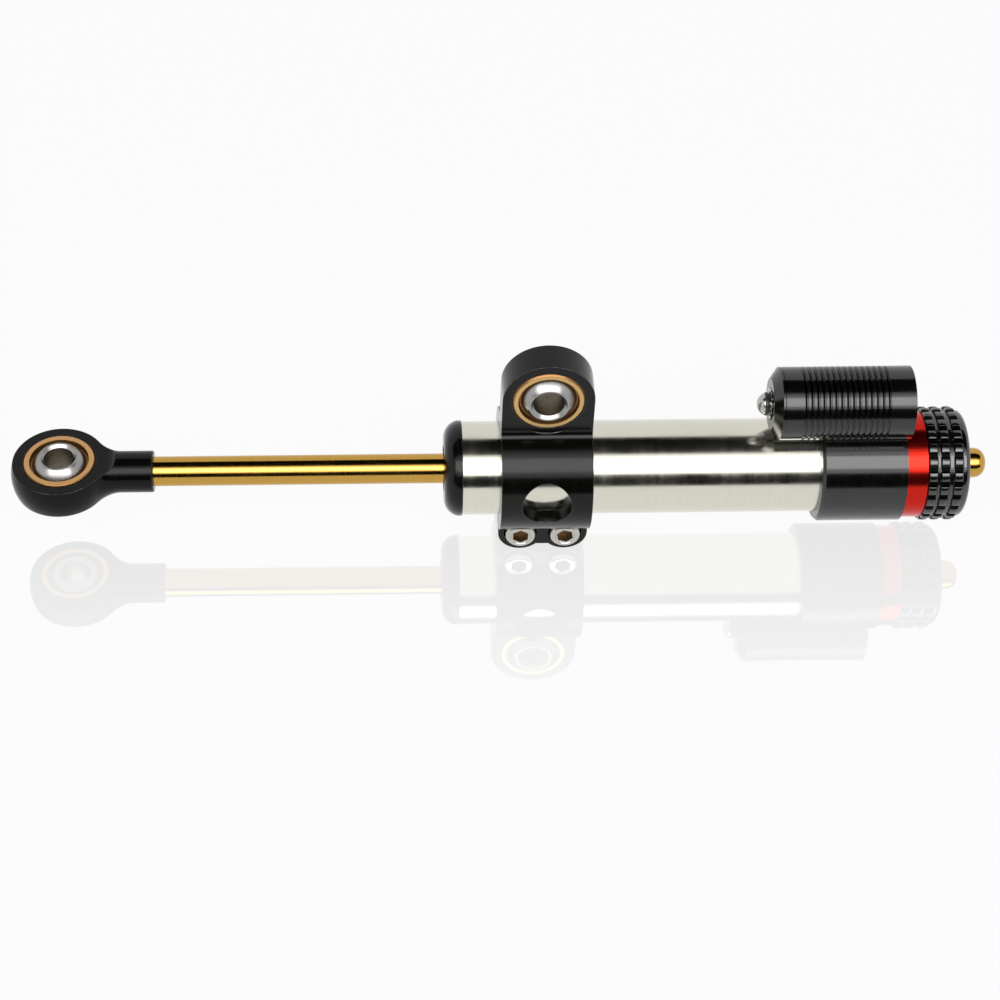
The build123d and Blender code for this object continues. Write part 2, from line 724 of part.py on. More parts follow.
# Head block: the reservoir barrel with its ribs, then the collar run into it
rib_end_x = collar_rear_x - rib_rear_margin
rib_start_x = rib_end_x - (rib_count - 1) * rib_pitch
plug_rear_x = collar_rear_x - plug_sink
plug_front_x = plug_rear_x - plug_length
plug_clip_x = plug_rear_x + seat_gap
crease_height = (collar_radius**2 - barrel_radius**2 + reservoir_rise**2) / (2 * reservoir_rise)
crease_half_width = sqrt(collar_radius**2 - crease_height**2)
with BuildPart() as head_block:
    with BuildSketch(reservoir_section):
        with BuildLine():
            Polyline(
                (barrel_front_x, 0),
                (barrel_front_x, nose_radius),
                (barrel_front_x + nose_length, barrel_radius),
                (collar_rear_x, barrel_radius),
                (collar_rear_x, 0),
                close=True,
            )
        make_face()
    revolve(axis=reservoir_line)
    for rib in range(rib_count):
        with BuildSketch(station(rib_start_x + rib * rib_pitch, reservoir_height)):
            Circle(barrel_radius + overrun)
            Circle(barrel_radius - rib_depth, mode=Mode.SUBTRACT)
        extrude(amount=rib_width, mode=Mode.SUBTRACT)
    with BuildSketch(tube_section):
        with BuildLine():
            Polyline(
                (collar_front_x, 0),
                (collar_front_x, collar_radius - collar_bevel),
                (collar_front_x + collar_bevel, collar_radius),
                (collar_rear_x, collar_radius),
                (collar_rear_x, 0),
                close=True,
            )
        make_face()
    revolve(axis=tube_line)
    # Web that fills the bottom of the crease between the collar and the barrel
    with BuildSketch(station(collar_front_x + collar_bevel)):
        with Locations((0, crease_height)):
            Rectangle(2 * (crease_half_width + web_margin), web_thickness)
    extrude(amount=collar_length - collar_bevel)
    # Stepped bore: the tube's seat, the port chamber, the sleeve's bore and the lock ring's thread
    with BuildSketch(tube_section):
        with BuildLine():
            Polyline(
                (collar_front_x - overrun, 0),
                (collar_front_x - overrun, collar_seat_radius),
                (flange_rear_x, collar_seat_radius),
                (flange_rear_x, sleeve_radius + port_chamber_depth),
                (port_chamber_end_x, sleeve_radius + port_chamber_depth),
                (port_chamber_end_x, sleeve_radius + running_gap),
                (thread_front_x, sleeve_radius + running_gap),
                (thread_front_x, ring_thread_radius + seat_gap),
                (collar_rear_x + overrun, ring_thread_radius + seat_gap),
                (collar_rear_x + overrun, 0),
                close=True,
            )
        make_face()
    revolve(axis=tube_line, mode=Mode.SUBTRACT)
    # Reservoir's bore, open to the rear, with the groove of the plug's circlip
    with BuildSketch(station(barrel_front_x + reservoir_end_wall, reservoir_height)):
        Circle(reservoir_bore_radius)
    extrude(amount=barrel_length, mode=Mode.SUBTRACT)
    with BuildSketch(station(plug_clip_x - seat_gap, reservoir_height)):
        Circle(reservoir_bore_radius + plug_clip_bite)
    extrude(amount=plug_clip_width + 2 * seat_gap, mode=Mode.SUBTRACT)
    # Gallery between the port chamber and the reservoir
    with BuildSketch(Plane.XY.offset(tube_height + sleeve_radius)):
        with Locations((gallery_x, 0)):
            Circle(gallery_radius)
    extrude(amount=reservoir_rise - sleeve_radius, mode=Mode.SUBTRACT)
    # Tapped hole of the nose screw
    with BuildSketch(station(barrel_front_x - overrun, reservoir_height)):
        Circle(nose_screw_radius + seat_gap)
    extrude(amount=reservoir_end_wall + 2 * overrun, mode=Mode.SUBTRACT)
    # Groove of the sleeve's outer sealing ring
    outer_ring_x = (port_chamber_end_x + thread_front_x) / 2
    with BuildSketch(station(outer_ring_x - sleeve_groove_width / 2)):
        Circle(sleeve_radius + rod_gap + 2 * sleeve_ring_section + seat_gap)
    extrude(amount=sleeve_groove_width, mode=Mode.SUBTRACT)
head_block.part.label = "head_block"
export_step(head_block.part, "parts/head_block.step")

# Rear guide: a boss in the inner tube, a flange behind the tubes, and a tail through the knob
rear_bush_x = chamber_rear_x + bush_sink
rear_bush_end_x = rear_bush_x + rear_bush_length
rear_seal_x = knob_front_x - seal_width
rear_seal_front_x = rear_seal_x - seal_width
rear_wiper_end_x = tail_end_x - wiper_sink
rear_wiper_x = rear_wiper_end_x - rear_wiper_width
guide_groove_x = flange_rear_x - flange_thickness / 2 - tube_groove_width / 2
flange_radius = tube_radius
knob_clip_x = knob_web_x + 2 * running_gap
knob_clip_groove = tail_nose_radius - circlip_groove
inner_ring_x = knob_front_x + sleeve_groove_width
with BuildPart() as rear_guide:
    with BuildSketch(tube_section):
        with BuildLine():
            Polyline(
                (chamber_rear_x, bush_radius + seat_gap),
                (chamber_rear_x, boss_radius),
                (flange_front_x, boss_radius),
                (flange_front_x, flange_radius),
                (flange_rear_x, flange_radius),
                (flange_rear_x, tail_radius),
                (knob_socket_x - running_gap, tail_radius),
                (knob_socket_x - running_gap, tail_nose_radius),
                (tail_end_x, tail_nose_radius),
                (tail_end_x, rear_wiper_radius + seat_gap),
                (rear_wiper_x, rear_wiper_radius + seat_gap),
                (rear_wiper_x, relief_radius),
                (rear_seal_x, relief_radius),
                (rear_seal_x, rear_seal_radius + seat_gap),
                (rear_seal_front_x, rear_seal_radius + seat_gap),
                (rear_seal_front_x, relief_radius),
                (rear_bush_end_x, relief_radius),
                (rear_bush_end_x, bush_radius + seat_gap),
                close=True,
            )
        make_face()
    revolve(axis=tube_line)
    # Ring groove of the flange, and the passages through the flange
    with BuildSketch(station(guide_groove_x)):
        Circle(flange_radius + overrun)
        Circle(flange_radius - 2 * tube_ring_section, mode=Mode.SUBTRACT)
    extrude(amount=tube_groove_width, mode=Mode.SUBTRACT)
    with BuildSketch(station(flange_front_x - overrun)):
        with PolarLocations((inner_tube_radius + tube_bore_radius) / 2, flange_hole_count):
            Circle(flange_hole_radius)
    extrude(amount=flange_thickness + 2 * overrun, mode=Mode.SUBTRACT)
    # Passages from the rear chamber to the ports of the sleeve
    with BuildSketch(station(chamber_rear_x - overrun)):
        with PolarLocations(gallery_pitch_radius, gallery_count):
            Circle(gallery_hole_radius)
    extrude(amount=gallery_x - chamber_rear_x + overrun, mode=Mode.SUBTRACT)
    # Groove of the knob's circlip, and of the sleeve's inner sealing ring
    with BuildSketch(station(knob_clip_x - seat_gap)):
        Circle(tail_nose_radius + overrun)
        Circle(knob_clip_groove - seat_gap, mode=Mode.SUBTRACT)
    extrude(amount=circlip_width + 2 * seat_gap, mode=Mode.SUBTRACT)
    with BuildSketch(station(inner_ring_x - sleeve_groove_width / 2)):
        Circle(tail_radius + overrun)
        Circle(tail_radius - 2 * sleeve_ring_section, mode=Mode.SUBTRACT)
    extrude(amount=sleeve_groove_width, mode=Mode.SUBTRACT)
rear_guide.part.label = "rear_guide"
export_step(rear_guide.part, "parts/rear_guide.step")

rod_bush_rear = sleeve_ring(rear_bush_x, rear_bush_end_x, rod_radius + rod_gap, bush_radius)
rod_bush_rear.part.label = "rod_bush_rear"
export_step(rod_bush_rear.part, "parts/rod_bush_rear.step")

rod_seal_rear = sleeve_ring(
    rear_seal_front_x, rear_seal_x, rod_radius + rod_gap, rear_seal_radius
)
rod_seal_rear.part.label = "rod_seal_rear"
export_step(rod_seal_rear.part, "parts/rod_seal_rear.step")

wiper_rear = sleeve_ring(
    rear_wiper_x, rear_wiper_end_x, rod_radius + rod_gap, rear_wiper_radius
)
wiper_rear.part.label = "wiper_rear"
export_step(wiper_rear.part, "parts/wiper_rear.step")

tube_seal = o_ring(
    guide_groove_x + tube_groove_width / 2,
    flange_radius - tube_ring_section,
    tube_ring_section - seat_gap,
)
tube_seal.part.label = "tube_seal"
export_step(tube_seal.part, "parts/tube_seal.step")

outer_ring = o_ring(
    outer_ring_x, sleeve_radius + rod_gap + sleeve_ring_section, sleeve_ring_section
)
inner_ring = o_ring(
    inner_ring_x, tail_radius + seat_gap - sleeve_ring_section, sleeve_ring_section
)
sleeve_seals = Compound(label="sleeve_seals", children=[outer_ring.part, inner_ring.part])
export_step(sleeve_seals, "parts/sleeve_seals.step")

knob_circlip = circlip(
    knob_clip_x,
    circlip_width,
    knob_clip_groove,
    tail_nose_radius + circlip_reach,
    circlip_mouth_angle,
)
knob_circlip.part.label = "knob_circlip"
export_step(knob_circlip.part, "parts/knob_circlip.step")

# Metering sleeve, turned by the knob
with BuildPart() as metering_sleeve:
    with BuildSketch(station(flange_rear_x + running_gap)):
        Circle(sleeve_radius)
        Circle(tail_radius + running_gap, mode=Mode.SUBTRACT)
    extrude(amount=knob_socket_x - flange_rear_x - running_gap)
    for turn in range(gallery_count):
        port_plane = station(gallery_x).rotated((0, 0, turn * 360 / gallery_count))
        with BuildSketch(Plane(origin=port_plane.origin, x_dir=(1, 0, 0), z_dir=port_plane.x_dir)):
            Circle(port_radius)
        extrude(amount=sleeve_radius + overrun, mode=Mode.SUBTRACT)
metering_sleeve.part.label = "metering_sleeve"
export_step(metering_sleeve.part, "parts/metering_sleeve.step")

# Lock ring, screwed into the head block, with the detent's pocket in its rear face
ring_middle_x = (collar_rear_x + ring_rear_x) / 2
detent_height = tube_height - detent_pitch_radius
with BuildPart() as lock_ring:
    with BuildSketch(tube_section):
        with BuildLine():
            Polyline(
                (thread_front_x + seat_gap, sleeve_radius + running_gap),
                (thread_front_x + seat_gap, ring_thread_radius),
                (collar_rear_x, ring_thread_radius),
                (collar_rear_x, ring_face_radius),
                (ring_rear_x, ring_face_radius),
                (ring_rear_x, sleeve_radius + running_gap),
                close=True,
            )
        make_face()
    revolve(axis=tube_line)
    for turn in range(spanner_hole_count):
        hole_angle = spanner_hole_angle + turn * 360 / spanner_hole_count
        hole_plane = station(ring_middle_x).rotated((0, 0, hole_angle))
        with BuildSketch(
            Plane(
                origin=hole_plane.origin + hole_plane.x_dir * (ring_face_radius - spanner_hole_depth),
                x_dir=(1, 0, 0),
                z_dir=hole_plane.x_dir,
            )
        ):
            Circle(spanner_hole_radius)
        extrude(amount=spanner_hole_depth + overrun, mode=Mode.SUBTRACT)
    with BuildSketch(station(ring_rear_x - detent_pocket_depth, detent_height)):
        Circle(detent_ball_radius + running_gap)
    extrude(amount=detent_pocket_depth + overrun, mode=Mode.SUBTRACT)
lock_ring.part.label = "lock_ring"
export_step(lock_ring.part, "parts/lock_ring.step")

detent_ball_x = ring_rear_x - detent_ball_radius
with BuildPart() as detent_ball:
    with Locations((detent_ball_x, 0, detent_height)):
        Sphere(detent_ball_radius)
detent_ball.part.label = "detent_ball"
export_step(detent_ball.part, "parts/detent_ball.step")

detent_spring = sleeve_ring(
    ring_rear_x - detent_pocket_depth,
    detent_ball_x - detent_ball_radius,
    detent_ball_radius - detent_spring_wall,
    detent_ball_radius,
    detent_height,
)
detent_spring.part.label = "detent_spring"
export_step(detent_spring.part, "parts/detent_spring.step")

# Knob: three rows of teeth round a smooth core
knob_socket_radius = sleeve_radius + seat_gap
with BuildPart() as knob:
    with BuildSketch(tube_section):
        with BuildLine():
            outline = [(knob_front_x, knob_socket_radius)]
            for share in knob_row_shares:
                row_x = knob_front_x + share * knob_length
                outline += [
                    (max(row_x - knob_row_foot / 2, knob_front_x), knob_core_radius),
                    (max(row_x - knob_row_top / 2, knob_front_x + edge_break), knob_tooth_radius),
                    (row_x + knob_row_top / 2, knob_tooth_radius),
                    (row_x + knob_row_foot / 2, knob_core_radius),
                ]
            outline += [
                (knob_rear_x, knob_core_radius),
                (knob_rear_x, knob_rear_pocket_radius),
                (knob_web_x, knob_rear_pocket_radius),
                (knob_web_x, tail_nose_radius + running_gap),
                (knob_socket_x, tail_nose_radius + running_gap),
                (knob_socket_x, knob_socket_radius),
            ]
            Polyline(*outline, close=True)
        make_face()
    revolve(axis=tube_line)
    rear_rim = knob.edges().filter_by(GeomType.CIRCLE).group_by(Axis.X)[-1].sort_by(SortBy.RADIUS)[-1]
    fillet(rear_rim, knob_end_round)
    # Notches between the teeth
    notch_centre = knob_tooth_radius + knob_notch_radius - knob_notch_depth
    with BuildSketch(station(knob_front_x - overrun)):
        with PolarLocations(notch_centre, knob_tooth_count, 180 / knob_tooth_count):
            Circle(knob_notch_radius)
    extrude(
        amount=overrun + knob_row_shares[-1] * knob_length + knob_row_foot / 2,
        mode=Mode.SUBTRACT,
    )
    # Dimples of the clicks, in the front face
    with BuildSketch(station(knob_front_x)):
        with PolarLocations(detent_pitch_radius, knob_tooth_count):
            Circle(dimple_radius)
    extrude(amount=dimple_depth, taper=dimple_angle, mode=Mode.SUBTRACT)
knob.part.label = "knob"
export_step(knob.part, "parts/knob.step")

# Compensator piston with its sealing ring, floating in the reservoir
reservoir_front_x = barrel_front_x + reservoir_end_wall
compensator_x = reservoir_front_x + compensator_place_share * (plug_front_x - reservoir_front_x)
compensator_end_x = compensator_x + compensator_length
compensator_radius = reservoir_bore_radius - running_gap
compensator_ring_x = (compensator_x + compensator_end_x) / 2
compensator_groove_radius = compensator_radius - 2 * compensator_ring_section
with BuildPart() as compensator_piston:
    with BuildSketch(station(compensator_x, reservoir_height)):
        Circle(compensator_radius)
    extrude(amount=compensator_length)
    with BuildSketch(station(compensator_x, reservoir_height)):
        Circle(compensator_bowl_radius)
    extrude(amount=compensator_bowl_depth, mode=Mode.SUBTRACT)
    with BuildSketch(station(compensator_ring_x - compensator_groove_width / 2, reservoir_height)):
        Circle(compensator_radius + overrun)
        Circle(compensator_groove_radius, mode=Mode.SUBTRACT)
    extrude(amount=compensator_groove_width, mode=Mode.SUBTRACT)
compensator_piston.part.label = "compensator_piston"
export_step(compensator_piston.part, "parts/compensator_piston.step")

compensator_seal = o_ring(
    compensator_ring_x,
    compensator_groove_radius + seat_gap + compensator_ring_section,
    compensator_ring_section,
    reservoir_section,
    reservoir_line,
)
compensator_seal.part.label = "compensator_seal"
export_step(compensator_seal.part, "parts/compensator_seal.step")

# Reservoir plug, its sealing ring and its circlip
plug_radius = reservoir_bore_radius - seat_gap
plug_ring_x = (plug_front_x + plug_rear_x) / 2
plug_groove_radius = plug_radius - 2 * plug_ring_section
with BuildPart() as reservoir_plug:
    with BuildSketch(station(plug_front_x, reservoir_height)):
        Circle(plug_radius)
    extrude(amount=plug_length)
    with BuildSketch(station(plug_ring_x - plug_groove_width / 2, reservoir_height)):
        Circle(plug_radius + overrun)
        Circle(plug_groove_radius, mode=Mode.SUBTRACT)
    extrude(amount=plug_groove_width, mode=Mode.SUBTRACT)
    with BuildSketch(station(plug_rear_x - plug_slot_depth, reservoir_height)):
        Rectangle(plug_radius, plug_slot_width)
    extrude(amount=plug_slot_depth + overrun, mode=Mode.SUBTRACT)
reservoir_plug.part.label = "reservoir_plug"
export_step(reservoir_plug.part, "parts/reservoir_plug.step")

plug_seal = o_ring(
    plug_ring_x,
    plug_groove_radius + seat_gap / 2 + plug_ring_section,
    plug_ring_section,
    reservoir_section,
    reservoir_line,
)
plug_seal.part.label = "plug_seal"
export_step(plug_seal.part, "parts/plug_seal.step")

plug_circlip = circlip(
    plug_clip_x,
    plug_clip_width,
    reservoir_bore_radius - plug_clip_reach,
    reservoir_bore_radius + plug_clip_bite - seat_gap,
    circlip_mouth_angle,
    reservoir_height,
)
plug_circlip.part.label = "plug_circlip"
export_step(plug_circlip.part, "parts/plug_circlip.step")

# Nose screw with a domed head, on its sealing ring and toothed washer
washer_x = barrel_front_x - toothed_washer_width
sealing_ring_x = washer_x - sealing_ring_width
with BuildPart() as nose_screw:
    with BuildSketch(reservoir_section):
        with BuildLine():
            Polyline(
                (sealing_ring_x - dome_height, 0),
                (barrel_front_x + nose_screw_length, 0),
                (barrel_front_x + nose_screw_length, nose_screw_radius),
                (sealing_ring_x, nose_screw_radius),
                (sealing_ring_x, dome_radius),
            )
            RadiusArc(
                (sealing_ring_x, dome_radius),
                (sealing_ring_x - dome_height, 0),
                -(dome_radius**2 + dome_height**2) / (2 * dome_height),
            )
        make_face()
    revolve(axis=reservoir_line)
nose_screw.part.label = "nose_screw"
export_step(nose_screw.part, "parts/nose_screw.step")

nose_ring_section = (washer_x - sealing_ring_x) / 2
nose_seal = o_ring(
    sealing_ring_x + nose_ring_section,
    nose_screw_radius + seat_gap + nose_ring_section,
    nose_ring_section,
    reservoir_section,
    reservoir_line,
)
nose_seal.part.label = "nose_seal"
export_step(nose_seal.part, "parts/nose_seal.step")

with BuildPart() as toothed_washer:
    with BuildSketch(station(washer_x, reservoir_height)):
        Circle(toothed_washer_radius)
        Circle(nose_screw_radius + seat_gap, mode=Mode.SUBTRACT)
        with PolarLocations(toothed_washer_radius, toothed_washer_teeth):
            Circle(toothed_washer_notch, mode=Mode.SUBTRACT)
    extrude(amount=toothed_washer_width)
toothed_washer.part.label = "toothed_washer"
export_step(toothed_washer.part, "parts/toothed_washer.step")
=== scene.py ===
"""Studio picture of a motorcycle steering damper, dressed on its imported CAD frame."""
import math

import bpy
import numpy as np
from mathutils import Matrix, Vector


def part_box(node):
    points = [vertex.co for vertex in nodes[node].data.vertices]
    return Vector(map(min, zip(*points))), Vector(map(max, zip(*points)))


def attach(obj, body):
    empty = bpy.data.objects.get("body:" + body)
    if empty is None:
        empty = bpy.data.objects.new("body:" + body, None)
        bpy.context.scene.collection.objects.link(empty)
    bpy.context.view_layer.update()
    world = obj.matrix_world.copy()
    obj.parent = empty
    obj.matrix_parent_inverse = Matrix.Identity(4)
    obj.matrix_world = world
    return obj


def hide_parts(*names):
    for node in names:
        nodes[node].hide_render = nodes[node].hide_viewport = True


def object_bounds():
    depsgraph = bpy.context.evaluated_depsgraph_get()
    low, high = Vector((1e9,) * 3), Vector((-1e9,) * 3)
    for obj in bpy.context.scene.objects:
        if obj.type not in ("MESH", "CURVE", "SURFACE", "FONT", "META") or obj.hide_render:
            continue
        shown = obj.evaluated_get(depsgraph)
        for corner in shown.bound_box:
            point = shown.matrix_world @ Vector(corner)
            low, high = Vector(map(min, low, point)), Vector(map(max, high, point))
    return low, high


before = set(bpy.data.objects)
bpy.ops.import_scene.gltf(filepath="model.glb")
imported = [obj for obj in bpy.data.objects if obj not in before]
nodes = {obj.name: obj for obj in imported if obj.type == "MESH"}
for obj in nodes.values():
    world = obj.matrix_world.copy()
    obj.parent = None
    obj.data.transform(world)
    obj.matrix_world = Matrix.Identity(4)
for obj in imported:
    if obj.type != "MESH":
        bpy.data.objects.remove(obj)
cad_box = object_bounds()

# Places that the pieces share, in metres
TUBE_Z = -0.0281
RESERVOIR_Z = -0.0056
ROD_EYE = (-0.1294, 0.0, TUBE_Z)
CLAMP_EYE = (0.0, 0.0, 0.0)
SCREW_X = 0.006
FLOOR_Z = cad_box[0][2] - 0.00005

MARK_DEPTH = 0.00002
DUST_COLOUR = (0.55, 0.53, 0.5, 1.0)


# Shader helpers

def new_material(name):
    """Returns an empty node material with its Principled BSDF already on the output."""
    material = bpy.data.materials.new(name)
    material.use_nodes = True
    tree = material.node_tree
    tree.nodes.clear()
    output = tree.nodes.new("ShaderNodeOutputMaterial")
    shader = tree.nodes.new("ShaderNodeBsdfPrincipled")
    tree.links.new(shader.outputs["BSDF"], output.inputs["Surface"])
    return material, tree, shader


def add(tree, kind, **settings):
    """Adds one node and sets its properties."""
    node = tree.nodes.new(kind)
    for key, value in settings.items():
        setattr(node, key, value)
    return node


def put(tree, node, socket, value):
    """Links an output to a socket, or sets the socket's plain value."""
    if isinstance(value, bpy.types.NodeSocket):
        tree.links.new(value, node.inputs[socket])
    else:
        node.inputs[socket].default_value = value


def math_node(tree, operation, first, second=0.0, third=0.0):
    """One scalar operation."""
    node = add(tree, "ShaderNodeMath", operation=operation)
    put(tree, node, 0, first)
    put(tree, node, 1, second)
    put(tree, node, 2, third)
    return node.outputs[0]


def ramp(tree, value, low, high, start=0.0, end=1.0):
    """Carries low..high of a value to start..end, clamped."""
    node = add(tree, "ShaderNodeMapRange", clamp=True)
    put(tree, node, "Value", value)
    put(tree, node, "From Min", low)
    put(tree, node, "From Max", high)
    put(tree, node, "To Min", start)
    put(tree, node, "To Max", end)
    return node.outputs["Result"]


def blend_colour(tree, factor, first, second):
    """Mixes two colours by a factor."""
    node = add(tree, "ShaderNodeMix", data_type="RGBA")
    put(tree, node, 0, factor)
    put(tree, node, 6, first)
    put(tree, node, 7, second)
    return node.outputs[2]


def noise(tree, vector, scale, detail, roughness):
    """Noise texture's value."""
    node = add(tree, "ShaderNodeTexNoise")
    put(tree, node, "Vector", vector)
    put(tree, node, "Scale", scale)
    put(tree, node, "Detail", detail)
    put(tree, node, "Roughness", roughness)
    return node.outputs[0]


def new_group(name, inputs, outputs):
    """Makes a node group with named float or vector sockets. Returns it with its two end nodes."""
    group = bpy.data.node_groups.new(name, "ShaderNodeTree")
    for label, kind, value in inputs:
        socket = group.interface.new_socket(label, in_out="INPUT", socket_type=kind)
        if value is not None:
            socket.default_value = value
    for label, kind in outputs:
        group.interface.new_socket(label, in_out="OUTPUT", socket_type=kind)
    return group, group.nodes.new("NodeGroupInput"), group.nodes.new("NodeGroupOutput")


def use_group(tree, group, **values):
    """Places a group in a material, with values for its inputs by their names."""
    node = add(tree, "ShaderNodeGroup", node_tree=group)
    for key, value in values.items():
        put(tree, node, key, value)
    return node.outputs


FLOAT, VECTOR = "NodeSocketFloat", "NodeSocketVector"


def edge_wear_group():
    """Mask of worn edges, also used as painted edge highlights: where a bevelled normal leaves the
    true one, broken up by noise.
    """
    group, given, result = new_group(
        "edge wear and highlight",
        [("Radius", FLOAT, 0.0003), ("Amount", FLOAT, 0.5), ("Breakup", FLOAT, 900.0)],
        [("Mask", FLOAT)],
    )
    place = add(group, "ShaderNodeTexCoord").outputs["Object"]
    bevel = add(group, "ShaderNodeBevel", samples=4)
    put(group, bevel, "Radius", given.outputs["Radius"])
    true_normal = add(group, "ShaderNodeNewGeometry").outputs["Normal"]
    dot = add(group, "ShaderNodeVectorMath", operation="DOT_PRODUCT")
    put(group, dot, 0, bevel.outputs[0])
    put(group, dot, 1, true_normal)
    turned_away = ramp(group, dot.outputs["Value"], 0.99, 0.8)
    broken = noise(group, place, given.outputs["Breakup"], 3.0, 0.6)
    patches = ramp(group, broken, 0.3, 0.6)
    worn = math_node(group, "MULTIPLY", turned_away, patches)
    put(group, result, "Mask", math_node(group, "MULTIPLY", worn, given.outputs["Amount"]))
    return group


def soft_edge_group():
    """Normal that rounds every sharp edge by a small radius."""
    group, given, result = new_group(
        "soft edge", [("Radius", FLOAT, 0.0002)], [("Normal", VECTOR)]
    )
    bevel = add(group, "ShaderNodeBevel", samples=6)
    put(group, bevel, "Radius", given.outputs["Radius"])
    put(group, result, "Normal", bevel.outputs[0])
    return group


def turning_group():
    """Fine rings left by turning or brushing: noise stretched across one direction."""
    group, given, result = new_group(
        "turning marks",
        [("Place", VECTOR, None), ("Stretch", VECTOR, (9000.0, 60.0, 60.0)),
         ("Coarse", FLOAT, 0.25)],
        [("Height", FLOAT), ("Streak", FLOAT)],
    )
    scaled = add(group, "ShaderNodeVectorMath", operation="MULTIPLY")
    put(group, scaled, 0, given.outputs["Place"])
    put(group, scaled, 1, given.outputs["Stretch"])
    fine = noise(group, scaled.outputs[0], 1.0, 2.0, 0.6)
    broad = noise(group, scaled.outputs[0], given.outputs["Coarse"], 3.0, 0.6)
    put(group, result, "Height", fine)
    put(group, result, "Streak", ramp(group, broad, 0.3, 0.7))
    return group


def dust_group():
    """Mask of sparse specks, gathered a little on faces that look up."""
    group, given, result = new_group(
        "dust", [("Size", FLOAT, 2500.0), ("Amount", FLOAT, 0.3)], [("Mask", FLOAT)]
    )
    place = add(group, "ShaderNodeTexCoord").outputs["Object"]
    cells = add(group, "ShaderNodeTexVoronoi", feature="F1")
    put(group, cells, "Vector", place)
    put(group, cells, "Scale", given.outputs["Size"])
    specks = ramp(group, cells.outputs["Distance"], 0.16, 0.05)
    patches = ramp(group, noise(group, place, 120.0, 2.0, 0.5), 0.5, 0.72)
    normal = add(group, "ShaderNodeNewGeometry").outputs["Normal"]
    parts = add(group, "ShaderNodeSeparateXYZ")
    put(group, parts, 0, normal)
    upward = ramp(group, parts.outputs["Z"], -0.3, 0.9, 0.25, 1.0)
    both = math_node(group, "MULTIPLY", math_node(group, "MULTIPLY", specks, patches), upward)
    put(group, result, "Mask", math_node(group, "MULTIPLY", both, given.outputs["Amount"]))
    return group


def smudge_group():
    """Broad, soft change over the surface, as from handling and oil."""
    group, given, result = new_group("smudges", [("Size", FLOAT, 90.0)], [("Value", FLOAT)])
    place = add(group, "ShaderNodeTexCoord").outputs["Object"]
    warped = noise(group, place, given.outputs["Size"], 4.0, 0.62)
    put(group, result, "Value", ramp(group, warped, 0.35, 0.7))
    return group


def groove_group():
    """Mask of painted shade in even grooves across X and in one painted dark scribed line. It
    fades in over 6 mm above a height."""
    fade, line_share = 0.006, 0.3
    group, given, result = new_group(
        "groove shade",
        [("First", FLOAT, 0.0), ("Pitch", FLOAT, 0.0015), ("Count", FLOAT, 15.0),
         ("Width", FLOAT, 0.0005), ("Line", FLOAT, 0.0), ("Above", FLOAT, 0.0)],
        [("Mask", FLOAT)],
    )
    given = given.outputs
    place = add(group, "ShaderNodeSeparateXYZ")
    put(group, place, 0, add(group, "ShaderNodeTexCoord").outputs["Object"])
    along, height = place.outputs["X"], place.outputs["Z"]
    from_first = math_node(group, "SUBTRACT", along, given["First"])
    step = math_node(group, "DIVIDE", from_first, given["Pitch"])
    last = math_node(group, "SUBTRACT", given["Count"], 1.0)
    nearest = math_node(group, "MAXIMUM", math_node(group, "ROUND", step), 0.0)
    nearest = math_node(group, "MINIMUM", nearest, last)
    off = math_node(group, "SUBTRACT", step, nearest)
    off = math_node(group, "MULTIPLY", off, given["Pitch"])
    half = math_node(group, "MULTIPLY", given["Width"], 0.5)
    in_groove = math_node(group, "LESS_THAN", math_node(group, "ABSOLUTE", off), half)
    off_line = math_node(group, "SUBTRACT", along, given["Line"])
    off_line = math_node(group, "ABSOLUTE", off_line)
    half_line = math_node(group, "MULTIPLY", half, line_share)
    on_line = math_node(group, "LESS_THAN", off_line, half_line)
    high = ramp(group, math_node(group, "SUBTRACT", height, given["Above"]), 0.0, fade)
    either = math_node(group, "MAXIMUM", in_groove, on_line)
    put(group, result, "Mask", math_node(group, "MULTIPLY", either, high))
    return group


EDGE_WEAR_AND_HIGHLIGHT = edge_wear_group()
SOFT_EDGE = soft_edge_group()
TURNING = turning_group()
DUST = dust_group()
SMUDGES = smudge_group()
PAINTED_GROOVE_SHADE = groove_group()


def bump(tree, height, strength, normal):
    """Bump from a height, on top of a normal."""
    node = add(tree, "ShaderNodeBump")
    put(tree, node, "Height", height)
    put(tree, node, "Strength", strength)
    put(tree, node, "Distance", MARK_DEPTH)
    put(tree, node, "Normal", normal)
    return node.outputs[0]


